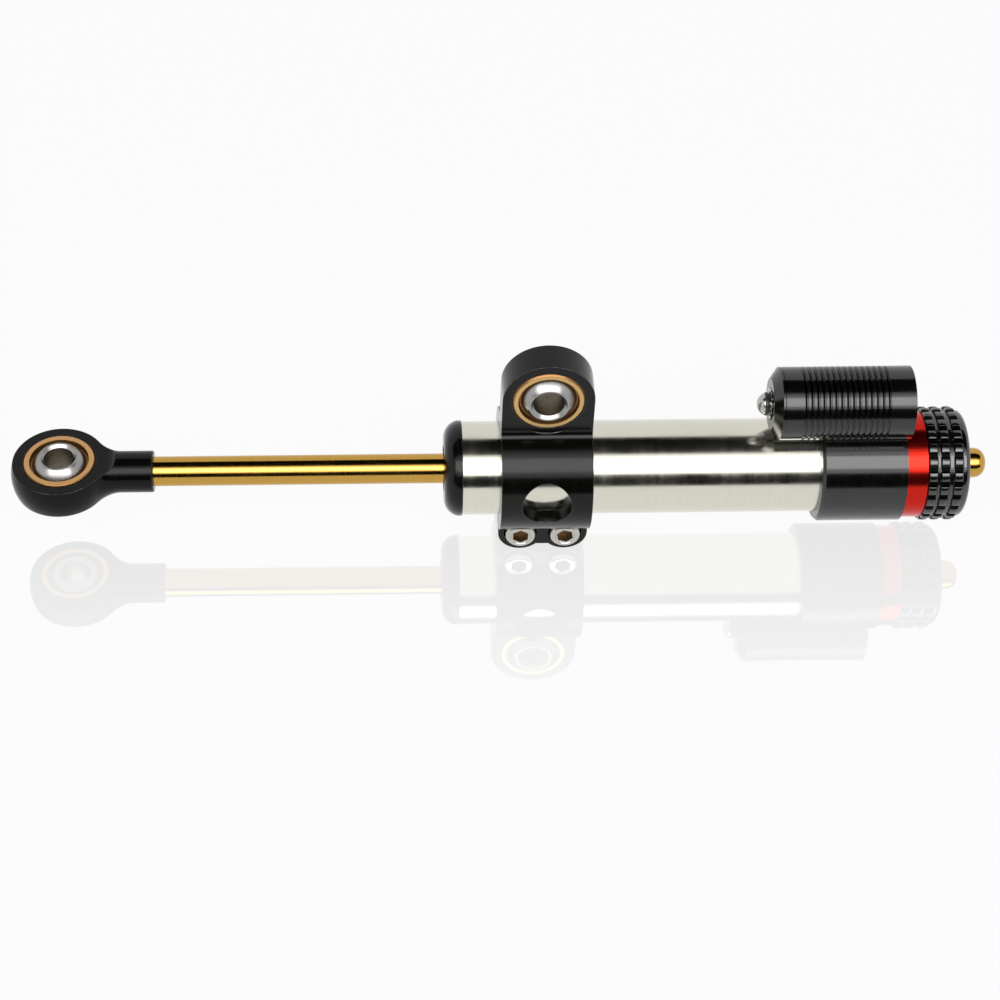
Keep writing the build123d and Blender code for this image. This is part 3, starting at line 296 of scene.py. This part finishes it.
def metal(name, colour, roughness, stretch, marks=0.1, spread=0.08, tone=0.1, metallic=1.0,
          edge=0.00015, wear_and_highlight_colour=None, wear=0.0, dust=0.15, ior=1.5, unrolled=False,
          grooves=None):
    """Machined finish: base colour with streaks, roughness with streaks and smudges, turning
    marks in the bump, dust, and pale worn edges, also painted edge highlights, which are metallic
    where the finish itself isn't.
    Grooves are metallic and near black, painted shade that mirrors next to nothing. An unrolled
    finish reads the piece's own UV map, whose second axis runs along the profile."""
    material, tree, shader = new_material(name)
    place = add(tree, "ShaderNodeTexCoord").outputs["UV" if unrolled else "Object"]
    marks_out = use_group(tree, TURNING, Place=place, Stretch=stretch)
    smudges = use_group(tree, SMUDGES)["Value"]
    dark = (*(part * (1 - tone) for part in colour), 1.0)
    shown = blend_colour(tree, marks_out["Streak"], dark, (*colour, 1.0))
    # Pale worn edges, partly real wear and partly painted edge highlights.
    if wear:
        worn = use_group(tree, EDGE_WEAR_AND_HIGHLIGHT, Amount=wear)["Mask"]
        shown = blend_colour(tree, worn, shown, (*wear_and_highlight_colour, 1.0))
        metallic = worn if metallic == 0 else metallic
    specks = use_group(tree, DUST, Amount=dust)["Mask"]
    shown = blend_colour(tree, specks, shown, DUST_COLOUR)
    put(tree, shader, "Base Color", shown)
    rough = math_node(tree, "MULTIPLY_ADD", marks_out["Streak"], spread, roughness - spread / 2)
    rough = math_node(tree, "MULTIPLY_ADD", smudges, spread, rough)
    rough = math_node(tree, "ADD", rough, specks)
    # Painted shade: the groove mask turns the grooves into metal over a near-black base.
    if grooves:
        metallic = use_group(tree, PAINTED_GROOVE_SHADE, **grooves)["Mask"]
    put(tree, shader, "Roughness", rough)
    put(tree, shader, "Metallic", metallic)
    put(tree, shader, "IOR", ior)
    soft = use_group(tree, SOFT_EDGE, Radius=edge)["Normal"]
    put(tree, shader, "Normal", bump(tree, marks_out["Height"], marks, soft))
    return material


# Finishes. A stretch gives the turning marks' scale along each axis, or across and along the UV.

AROUND_X = (9000.0, 60.0, 60.0)
BRUSHED_AROUND_X = (14000.0, 45.0, 45.0)
POLISHED_AROUND_X = (20000.0, 90.0, 90.0)
NO_WAY = (3000.0, 3000.0, 3000.0)
UNROLLED = (6.0, 12000.0, 0.0)
BORED = (30.0, 5000.0, 0.0)
# Painted shade in the head block's grooves and in one scribed line.
BARREL_GROOVE_SHADE = dict(First=0.06608, Pitch=0.00153, Count=15.0, Width=0.0006,
                      Line=0.0609, Above=-0.006)

# The black parts' pale worn edges also serve as painted highlights along their edges.
BLACK_LOOK = dict(metallic=0.0, tone=0.2, wear_and_highlight_colour=(0.24, 0.23, 0.22), dust=0.05)
BLACK_COLOUR = (0.0028, 0.0028, 0.0024)
BLACK = metal("black anodised aluminium", BLACK_COLOUR, 0.12, NO_WAY, marks=0.04,
              edge=0.0003, ior=1.26, wear=0.8, **BLACK_LOOK)
BLACK_TURNED = metal("turned black anodised aluminium", BLACK_COLOUR, 0.12, AROUND_X, marks=0.25,
                     edge=0.0003, ior=1.32, wear=0.8, **BLACK_LOOK)
BLACK_BLOCK = metal("black anodised head block", BLACK_COLOUR, 0.1, AROUND_X, marks=0.04,
                    edge=0.0001, ior=1.6, grooves=BARREL_GROOVE_SHADE, **BLACK_LOOK)
BLACK_KNOB = metal("black anodised knob", BLACK_COLOUR, 0.1, UNROLLED, marks=0.02,
                   ior=1.8, unrolled=True, **BLACK_LOOK)
# Painted shade: near-black, rough metal that keeps the knob's gaps between the pads dark.
KNOB_GAP_SHADE = metal("knob gaps with painted shade", (0.004, 0.004, 0.004), 0.4, UNROLLED, marks=0.05,
                  unrolled=True)
RED = metal("red anodised aluminium", (0.56, 0.018, 0.01), 0.16, AROUND_X, marks=0.02,
            spread=0.03, tone=0.05, metallic=0.95, wear_and_highlight_colour=(0.8, 0.3, 0.26), wear=0.2)
TUBE = metal("brushed stainless tube", (0.7, 0.685, 0.59), 0.14, BRUSHED_AROUND_X, marks=0.16,
             tone=0.06, dust=0.06)
GOLD = metal("gold coated rod", (0.54, 0.32, 0.068), 0.13, POLISHED_AROUND_X, marks=0.05,
             spread=0.05, tone=0.06, dust=0.05)
BRONZE = metal("turned bronze", (0.66, 0.37, 0.155), 0.26, UNROLLED, marks=0.12, unrolled=True)
CLAMP_BRONZE = metal("turned pale bronze", (0.62, 0.41, 0.17), 0.24, UNROLLED, marks=0.12,
                     unrolled=True)
# Painted shade: dark bronze for the races' rim chamfers, sunk steps and seats.
SHADED_BRONZE = metal("bronze with painted shade", (0.26, 0.13, 0.045), 0.34, UNROLLED, marks=0.12,
                    unrolled=True)
# Painted shade inside the screws' hex sockets, with a painted brownish reflection.
SOCKET_SHADE = metal("socket with painted shade", (0.26, 0.19, 0.11), 0.35, NO_WAY, marks=0.3)
BALL = metal("polished bearing steel", (0.35, 0.345, 0.34), 0.24, UNROLLED, marks=0.06,
             unrolled=True)
POLISHED = metal("polished steel dome", (0.5, 0.49, 0.47), 0.16, NO_WAY, marks=0.04)
BUSH = metal("bronze bush", (0.6, 0.34, 0.14), 0.3, AROUND_X, marks=0.2)
BORE = metal("bored steel", (0.2, 0.17, 0.125), 0.36, BORED, marks=0.8, tone=0.4, unrolled=True)
SCREW = metal("stainless screw", (0.55, 0.53, 0.5), 0.2, UNROLLED, marks=0.06, unrolled=True)
BARE = metal("turned bare aluminium", (0.7, 0.7, 0.7), 0.3, AROUND_X, marks=0.3)
SPRING = metal("oiled spring steel", (0.34, 0.34, 0.35), 0.3, NO_WAY, marks=0.2)
RUBBER = metal("black seal rubber", (0.018, 0.018, 0.018), 0.3, NO_WAY, marks=0.2,
               tone=0.3, metallic=0.0)
PLASTIC = metal("filled bearing plastic", (0.16, 0.2, 0.17), 0.5, NO_WAY, marks=0.3,
                metallic=0.0)

FINISHES = {
    "rod_end": BLACK,
    "gland_cap": BLACK_TURNED,
    "clamp": BLACK_TURNED,
    "head_block": BLACK_BLOCK,
    "reservoir_plug": BLACK_TURNED,
    "lock_ring": RED,
    "outer_tube": TUBE,
    "piston_rod": GOLD,
    "rod_bush_front": BUSH,
    "rod_bush_rear": BUSH,
    "detent_ball": POLISHED,
    "nose_screw": POLISHED,
    "piston": BARE,
    "inner_tube": BARE,
    "rear_guide": BARE,
    "metering_sleeve": BARE,
    "compensator_piston": BARE,
    "piston_circlips": SPRING,
    "knob_circlip": SPRING,
    "plug_circlip": SPRING,
    "detent_spring": SPRING,
    "piston_band": PLASTIC,
}


def dress_nodes():
    """Gives every CAD node its finish. The nodes not named above are seals, or replaced later."""
    for name, node in nodes.items():
        node.data.materials.clear()
        node.data.materials.append(FINISHES.get(name, RUBBER))


# Mesh helpers

def mesh_piece(name, points, faces, materials, indices=None, crease=None, unrolled=None):
    """Makes a mesh object from points and faces. Edges sharper than the crease angle in degrees
    stay sharp. Unrolled holds a UV pair for each corner of each face."""
    mesh = bpy.data.meshes.new(name)
    mesh.from_pydata(points.tolist(), [], faces if isinstance(faces, list) else faces.tolist())
    if unrolled is not None:
        mesh.uv_layers.new(name="unrolled").data.foreach_set("uv", unrolled.ravel().tolist())
    for material in materials:
        mesh.materials.append(material)
    if indices is not None:
        mesh.polygons.foreach_set("material_index", indices.tolist())
    if crease is not None:
        mesh.polygons.foreach_set("use_smooth", [True] * len(faces))
        mesh.set_sharp_from_angle(angle=math.radians(crease))
    piece = bpy.data.objects.new(name, mesh)
    bpy.context.scene.collection.objects.link(piece)
    return piece


def turned_grid(along, radius, line):
    """Closed ring surface: at step i round the line and place j on the profile, the point lies
    along[i, j] along the line and radius[i, j] from it, at the angle i / steps of a full turn.
    The line is x, y or z. Gives points, faces and, for each corner, the share of the turn and
    the length along the profile."""
    steps = along.shape[0]
    turn = np.arange(steps)[:, None] * (2 * math.pi / steps)
    first, second = radius * np.cos(turn), radius * np.sin(turn)
    orders = {
        "x": (along, first, second), "y": (second, along, first), "z": (first, second, along)
    }
    points = np.stack(orders[line], axis=-1).reshape(-1, 3)
    count = along.shape[1]
    step, place = np.meshgrid(np.arange(steps), np.arange(count), indexing="ij")
    next_step, next_place = (step + 1) % steps, (place + 1) % count
    corners = [step * count + place, next_step * count + place,
               next_step * count + next_place, step * count + next_place]
    line_ends = np.stack([along[0], radius[0]], axis=1)
    pieces = np.linalg.norm(np.roll(line_ends, -1, axis=0) - line_ends, axis=1)
    length = np.concatenate([[0.0], np.cumsum(pieces)])
    round_share = np.stack([step, step + 1, step + 1, step], axis=-1) / steps
    here, beyond = length[place], length[place + 1]
    down = np.stack([here, here, beyond, beyond], axis=-1)
    unrolled = np.stack([round_share, down], axis=-1).reshape(-1, 2)
    return points, np.stack(corners, axis=-1).reshape(-1, 4), unrolled


def turned_solid(along, radius, line):
    """Closed turned surface whose profile starts and ends on the line: turned_grid's rings, and a
    fan of triangles to each pole. Gives points, faces, UV pairs and each face's place on the
    profile."""
    points, faces, unrolled = turned_grid(along, radius, line)
    steps, count = along.shape
    kinds = np.arange(len(faces)) % count
    corners = unrolled.reshape(-1, 4, 2)
    pole = np.arange(len(points))
    pole[::count] = 0
    pole[count - 1::count] = count - 1
    faces = pole[faces]
    first, last = kinds == 0, kinds == count - 2
    middle = (kinds > 0) & (kinds < count - 2)
    used = np.unique(faces[first | middle | last])
    new_number = np.zeros(len(points), int)
    new_number[used] = np.arange(len(used))
    faces = new_number[faces]
    kept = [(first, [1, 2, 3]), (middle, [0, 1, 2, 3]), (last, [0, 1, 2])]
    lists = [face for chosen, ends in kept for face in faces[chosen][:, ends].tolist()]
    maps = np.concatenate([corners[chosen][:, ends].reshape(-1, 2) for chosen, ends in kept])
    places = np.concatenate([kinds[first], kinds[middle], kinds[last]])
    return points[used], lists, maps, places


def arc(centre, radius, start, end, steps):
    """Points on a circle in the profile's plane, from one angle to another in degrees."""
    angle = np.radians(np.linspace(start, end, steps))
    return np.array(centre) + radius * np.stack([np.cos(angle), np.sin(angle)], axis=1)


def smooth_step(value, low, high):
    """Zero below low, one above high, and 3t^2 - 2t^3 between."""
    share = np.clip((value - low) / (high - low), 0.0, 1.0)
    return share * share * (3 - 2 * share)


# Pieces

def repeat_profile(profile, steps):
    """Stations and radii of a plain turned piece: the same profile at every step."""
    grid = np.repeat(profile[None, :, :], steps, axis=0)
    return grid[:, :, 0], grid[:, :, 1]


def crowned(distance, half, crown, low, high):
    """A pad's height share: 1 - crown * (distance / half)^2, falling smoothly to zero from low to
    high."""
    return (1.0 - crown * (distance / half) ** 2) * (1.0 - smooth_step(distance, low, high))


def knob_piece():
    """Adjuster knob: a profile turned about the tube's line, whose outer radius is
    core + height * row(x) * tooth(angle). Row and tooth are crowned pads, for three rows along x
    and 24 teeth round the line. The faces between the teeth of a row take a near-black, rough
    metal that mirrors next to nothing: painted shade between the pads."""
    front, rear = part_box("knob")[0].x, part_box("knob")[1].x
    length = rear - front
    core, height, teeth, steps_per_tooth = 0.0143, 0.0009, 24, 24
    recess, recess_end, bore, bore_end, mouth = 0.0087, 0.0032, 0.00625, 0.004, 0.00952
    corner, lead, inset, body_share = 0.0017, 0.0003, 0.0002, 0.83
    row_edge, tooth_edge = 0.3, 0.45
    rows = front + np.array([0.11, 0.39, 0.70]) * length
    body = np.linspace(front + inset, front + body_share * length, 120)
    body_line = np.stack([body, np.full_like(body, core)], axis=1)
    end_round = arc((rear - corner, core - corner), corner, 90, 0, 12)
    inner = np.array([
        [rear, recess], [rear - recess_end, recess], [rear - recess_end, bore],
        [front + bore_end, bore], [front + bore_end, mouth], [front, mouth],
        [front, core - lead],
    ])
    profile = np.concatenate([body_line, end_round, inner])
    away = np.abs(profile[:, 0][:, None] - rows[None, :]).min(axis=1)
    on_body = np.zeros(len(profile))
    on_body[:len(body)] = 1.0
    row = crowned(away, half=0.0012, crown=0.2, low=0.00095, high=0.0013) * on_body
    steps = teeth * steps_per_tooth
    turn = np.arange(steps) / steps_per_tooth
    apart = np.abs(turn - np.round(turn))
    tooth = crowned(apart, half=0.3, crown=0.2, low=0.28, high=0.38)
    along, radius = repeat_profile(profile, steps)
    points, faces, unrolled = turned_grid(
        along, radius + height * row[None, :] * tooth[:, None], "x"
    )
    low_end = np.minimum(tooth, np.roll(tooth, -1))
    # Faces low between the teeth of a row take the painted shade.
    painted_gap_shade = (row[None, :] > row_edge) & (low_end[:, None] < tooth_edge)
    points[:, 2] += TUBE_Z
    piece = mesh_piece("adjuster_knob", points, faces, [BLACK_KNOB, KNOB_GAP_SHADE],
                       indices=painted_gap_shade.astype(int).ravel(), crease=40, unrolled=unrolled)
    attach(piece, "adjuster")
    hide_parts("knob")


def ball_piece(name, node, body, line, place):
    """Bearing ball: a sphere's arc, a flat face, a chamfer and the bore, turned about the bolt's
    line. The bore takes the darker, rougher finish."""
    half, ball, bore, edge, steps = 0.006, 0.00794, 0.004, 0.00075, 128
    limit = math.degrees(math.asin(half / ball))
    outside = arc((0.0, 0.0), ball, 90 + limit, 90 - limit, 33)
    bore_line = np.linspace(half - edge, edge - half, 9)
    bore_line = np.stack([bore_line, np.full_like(bore_line, bore)], axis=1)
    inside = np.concatenate([[[half, bore + edge]], bore_line, [[-half, bore + edge]]])
    profile = np.concatenate([outside, inside])
    points, faces, unrolled = turned_grid(*repeat_profile(profile, steps), line)
    is_bore = np.zeros(len(profile), int)
    is_bore[len(outside) + 1:-2] = 1
    piece = mesh_piece(name, points + np.array(place), faces, [BALL, BORE],
                       indices=np.tile(is_bore, steps), crease=25, unrolled=unrolled)
    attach(piece, body)
    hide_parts(node)


def race_piece(name, node, body, line, place, finish, chamfer):
    """Bearing race: a ring with a chamfered rim, a flat face, a sunk step at each mouth and a
    spherical seat inside, turned about the bolt's line. All but the flat faces and the outside
    take a dark bronze, painted shade in the rim's chamfer, the sunk step and the seat."""
    half, outer, seat, steps = 0.0045, 0.0095, 0.00797, 128
    face, sunk, step = 0.00795, 0.0034, 0.0076
    limit = math.degrees(math.asin(sunk / seat))
    side = [[half - chamfer, outer], [half, outer - chamfer], [half, face], [sunk, step]]
    inside = arc((0.0, 0.0), seat, 90 - limit, 90 + limit, 25)
    profile = np.concatenate([side, inside, [[-x, r] for x, r in reversed(side)]])
    points, faces, unrolled = turned_grid(*repeat_profile(profile, steps), line)
    is_shaded = np.zeros(len(profile), int)
    is_shaded[[0, -2]] = 1
    is_shaded[2:-3] = 1
    piece = mesh_piece(name, points + np.array(place), faces, [finish, SHADED_BRONZE],
                       indices=np.tile(is_shaded, steps), crease=25, unrolled=unrolled)
    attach(piece, body)
    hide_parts(node)


def screw_piece(name, x, turned):
    """Socket-head screw: socket floor, hexagonal wall, bevelled head and shank turned about Y. The
    socket's radius at an angle is half the width across flats over the cosine of the angle from
    the nearest flat's middle. Turned moves the socket round by that many steps of the 96."""
    low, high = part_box("clamp_screws")
    steps, front, rear = 96, low.y, high.y
    flats, depth, head, shank, head_height = 0.004, 0.0026, 0.0041, 0.0025, 0.005
    bevel, mouth, lip, wall_end, edge, tip = 0.0012, 0.00255, 0.0027, 0.0003, 0.0002, 0.0003
    angle = (np.arange(steps) + turned) * (2 * math.pi / steps)
    hexagon = flats / 2 / np.cos((angle % (math.pi / 3)) - math.pi / 6)
    outside = np.concatenate([
        [[front + edge, mouth], [front, lip]],
        arc((front + bevel, head - bevel), bevel, 180, 90, 9),
        [[front + head_height - edge, head], [front + head_height, head - edge],
         [front + head_height, shank], [rear - tip, shank], [rear, shank - tip]],
    ])
    stations = np.concatenate([[front + depth] * 2, [front + wall_end], outside[:, 0], [rear]])
    radius = np.zeros((steps, len(stations)))
    radius[:, 1:3] = hexagon[:, None]
    radius[:, 3:-1] = outside[:, 1][None, :]
    along = np.repeat(stations[None, :], steps, axis=0)
    points, faces, unrolled, places = turned_solid(along, radius, "y")
    points = points + np.array([x, 0.0, (low.z + high.z) / 2])
    # Socket floor and hexagonal wall take the painted shade.
    piece = mesh_piece(name, points, faces, [SCREW, SOCKET_SHADE],
                       indices=(places < 2).astype(int), crease=24, unrolled=unrolled)
    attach(piece, "cylinder")
    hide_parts("clamp_screws")


def washer_piece():
    """Serrated washer: a flat ring whose outer part twists. Each of the 14 teeth rises along X as
    a saw's tooth does, and the outer radius dips between the teeth."""
    low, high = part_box("toothed_washer")
    teeth, per_tooth = 14, 12
    inner, outer, thin, rise, depth = 0.00205, (high.y - low.y) / 2, 0.00018, 0.0003, 0.16
    phase = (np.arange(teeth * per_tooth) / per_tooth) % 1.0
    share = np.array([0.0, 0.35, 0.55, 0.8, 1.0])
    saw = (phase - 0.5)[:, None] * smooth_step(share, 0.35, 0.8)[None, :]
    between = smooth_step(np.abs(phase - 0.5), 0.36, 0.46)
    dip = 1.0 - depth * between[:, None] * share[None, :]
    radius = (inner + (outer - inner) * share[None, :]) * dip
    front = (low.x + high.x - thin) / 2 + rise * saw
    back = front + thin
    along = np.concatenate([front, back[:, ::-1]], axis=1)
    radius = np.concatenate([radius, radius[:, ::-1]], axis=1)
    points, faces, unrolled = turned_grid(along, radius, "x")
    points[:, 2] += RESERVOIR_Z
    piece = mesh_piece("serrated_washer", points, faces, [SCREW], crease=20, unrolled=unrolled)
    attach(piece, "cylinder")
    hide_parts("toothed_washer")


# Stage, lights and camera

def seen_directly(tree):
    """One for rays from the camera, from mirror-like surfaces and through glass, else zero."""
    rays = add(tree, "ShaderNodeLightPath")
    seen = math_node(tree, "MAXIMUM", rays.outputs["Is Camera Ray"], rays.outputs["Is Glossy Ray"])
    return math_node(tree, "MAXIMUM", seen, rays.outputs["Is Transmission Ray"])


def stage_material():
    """Pale floor that the camera and mirrors see as near white, with a soft shadow left on it. To
    the camera it also mirrors a little, less and less towards the front."""
    glow_share, mirror_share, mirror_start = 0.95, 0.2, -0.1
    material, tree, shader = new_material("pale studio floor")
    output = next(node for node in tree.nodes if node.type == "OUTPUT_MATERIAL")
    put(tree, shader, "Base Color", (0.55, 0.55, 0.55, 1.0))
    put(tree, shader, "Roughness", 0.6)
    put(tree, shader, "Specular IOR Level", 0.0)
    glow = add(tree, "ShaderNodeEmission")
    put(tree, glow, "Color", (1.0, 1.0, 1.0, 1.0))
    put(tree, glow, "Strength", 1.0)
    mixed = add(tree, "ShaderNodeMixShader")
    put(tree, mixed, 0, math_node(tree, "MULTIPLY", seen_directly(tree), glow_share))
    put(tree, mixed, 1, shader.outputs[0])
    put(tree, mixed, 2, glow.outputs[0])
    place = add(tree, "ShaderNodeSeparateXYZ")
    put(tree, place, 0, add(tree, "ShaderNodeTexCoord").outputs["Object"])
    fade = ramp(tree, place.outputs["Y"], mirror_start, 0.0, 0.0, mirror_share)
    direct = add(tree, "ShaderNodeLightPath").outputs["Is Camera Ray"]
    polish = math_node(tree, "MULTIPLY", fade, direct)
    mirror = add(tree, "ShaderNodeBsdfGlossy")
    put(tree, mirror, "Roughness", 0.04)
    put(tree, mirror, "Color", (1.0, 1.0, 1.0, 1.0))
    polished = add(tree, "ShaderNodeMixShader")
    put(tree, polished, 0, polish)
    put(tree, polished, 1, mixed.outputs[0])
    put(tree, polished, 2, mirror.outputs[0])
    tree.links.new(polished.outputs[0], output.inputs["Surface"])
    return material


def black_card(name, centre, target, size):
    """Black card outside the picture that keeps a dark band in the mirror-like surfaces: a
    rectangle about its centre that faces the target."""
    half = np.array([*size, 0.0]) / 2
    corners = np.array([[-1, -1, 0], [1, -1, 0], [1, 1, 0], [-1, 1, 0]]) * half
    turn = (Vector(target) - Vector(centre)).to_track_quat("Z", "Y").to_matrix()
    points = corners @ np.array(turn).T + np.array(centre)
    material, tree, shader = new_material(name)
    put(tree, shader, "Base Color", (0.01, 0.01, 0.01, 1.0))
    put(tree, shader, "Roughness", 0.9)
    put(tree, shader, "Specular IOR Level", 0.0)
    card = mesh_piece(name, points, np.array([[0, 1, 2, 3]]), [material])
    card.visible_camera = False


def studio_floor():
    """Floor that curls up behind: a strip swept along X whose section is a line, a quarter circle
    and a line."""
    front, back, bend, top, half_width = -0.3, 0.9, 0.35, 1.8, 2.4
    angles = np.linspace(0.0, math.pi / 2, 17)
    along = np.concatenate([[front], back - bend + bend * np.sin(angles), [back]])
    up = np.concatenate([[0.0], bend - bend * np.cos(angles), [top]])
    left = np.stack([np.full_like(along, -half_width), along, up + FLOOR_Z], axis=1)
    right = left * np.array([-1.0, 1.0, 1.0])
    points = np.concatenate([left, right])
    count = len(along)
    first = np.arange(count - 1)
    faces = np.stack([first, first + count, first + count + 1, first + 1], axis=1)
    floor = mesh_piece("studio_floor", points, faces, [stage_material()], crease=60)


def soft_box(name, place, target, size, power):
    """Rectangular area lamp that looks at a target."""
    lamp = bpy.data.lights.new(name, "AREA")
    lamp.shape = "RECTANGLE"
    lamp.size, lamp.size_y = size
    lamp.energy = power
    holder = bpy.data.objects.new(name, lamp)
    turn = (Vector(target) - Vector(place)).to_track_quat("-Z", "Y").to_matrix().to_4x4()
    holder.matrix_world = Matrix.Translation(place) @ turn
    bpy.context.scene.collection.objects.link(holder)


def world_light():
    """Dim grey surroundings for diffuse light, white to the camera and to mirror-like surfaces."""
    dim = 0.3
    world = bpy.data.worlds.new("studio")
    bpy.context.scene.world = world
    world.use_nodes = True
    tree = world.node_tree
    tree.nodes.clear()
    output = add(tree, "ShaderNodeOutputWorld")
    around = add(tree, "ShaderNodeBackground")
    put(tree, around, "Color", (1.0, 1.0, 1.0, 1.0))
    put(tree, around, "Strength", ramp(tree, seen_directly(tree), 0.0, 1.0, dim, 1.0))
    tree.links.new(around.outputs[0], output.inputs["Surface"])


def camera():
    """Camera 45 degrees above the tube, 0.63 m from it, its frame rolled slightly and shifted as
    the photograph's."""
    along, distance, height, rolled = -0.046, 0.63, math.radians(45.0), math.radians(-0.62)
    back, up = distance * math.cos(height), distance * math.sin(height)
    lens = bpy.data.cameras.new("camera")
    lens.sensor_width = 36.0
    lens.lens = 84.6
    lens.shift_x = 0.1283
    lens.shift_y = -0.031
    lens.clip_start = 0.01
    eye = bpy.data.objects.new("camera", lens)
    tilt = Matrix.Rotation(math.pi / 2 - height, 4, "X")
    roll = Matrix.Rotation(rolled, 4, "Z")
    eye.matrix_world = Matrix.Translation((along, -back, TUBE_Z + up)) @ tilt @ roll
    bpy.context.scene.collection.objects.link(eye)
    bpy.context.scene.camera = eye


dress_nodes()
knob_piece()
ball_piece("rod_end_bearing_ball", "rod_end_ball", "rod_end_ball", "z", ROD_EYE)
ball_piece("clamp_bearing_ball", "clamp_ball", "clamp_ball", "y", CLAMP_EYE)
# Each race's rim chamfer, sunk step and seat take painted shade; the clamp race's wider chamfer
# makes a thin dark ring of it.
race_piece("rod_end_bearing_race", "rod_end_race", "rod", "z", ROD_EYE, BRONZE, chamfer=0.0002)
race_piece("clamp_bearing_race", "clamp_race", "cylinder", "y", CLAMP_EYE, CLAMP_BRONZE,
           chamfer=0.0005)
screw_piece("clamp_screw_front", -SCREW_X, turned=0)
screw_piece("clamp_screw_rear", SCREW_X, turned=3)
washer_piece()
studio_floor()
world_light()
middle = (0.0, 0.0, TUBE_Z)
soft_box("front box", (-0.03, -0.60, 0.64), middle, size=(1.8, 0.7), power=3.6)
soft_box("front box core", (-0.03, -0.585, 0.623), middle, size=(1.6, 0.4), power=6.5)
black_card("black card overhead", (0.0, 0.14, 0.97), middle, size=(3.0, 0.84))
black_card("black card in front", (0.0, -1.0, 0.065), middle, size=(3.0, 0.72))
camera()
bpy.context.scene.view_settings.view_transform = "Standard"
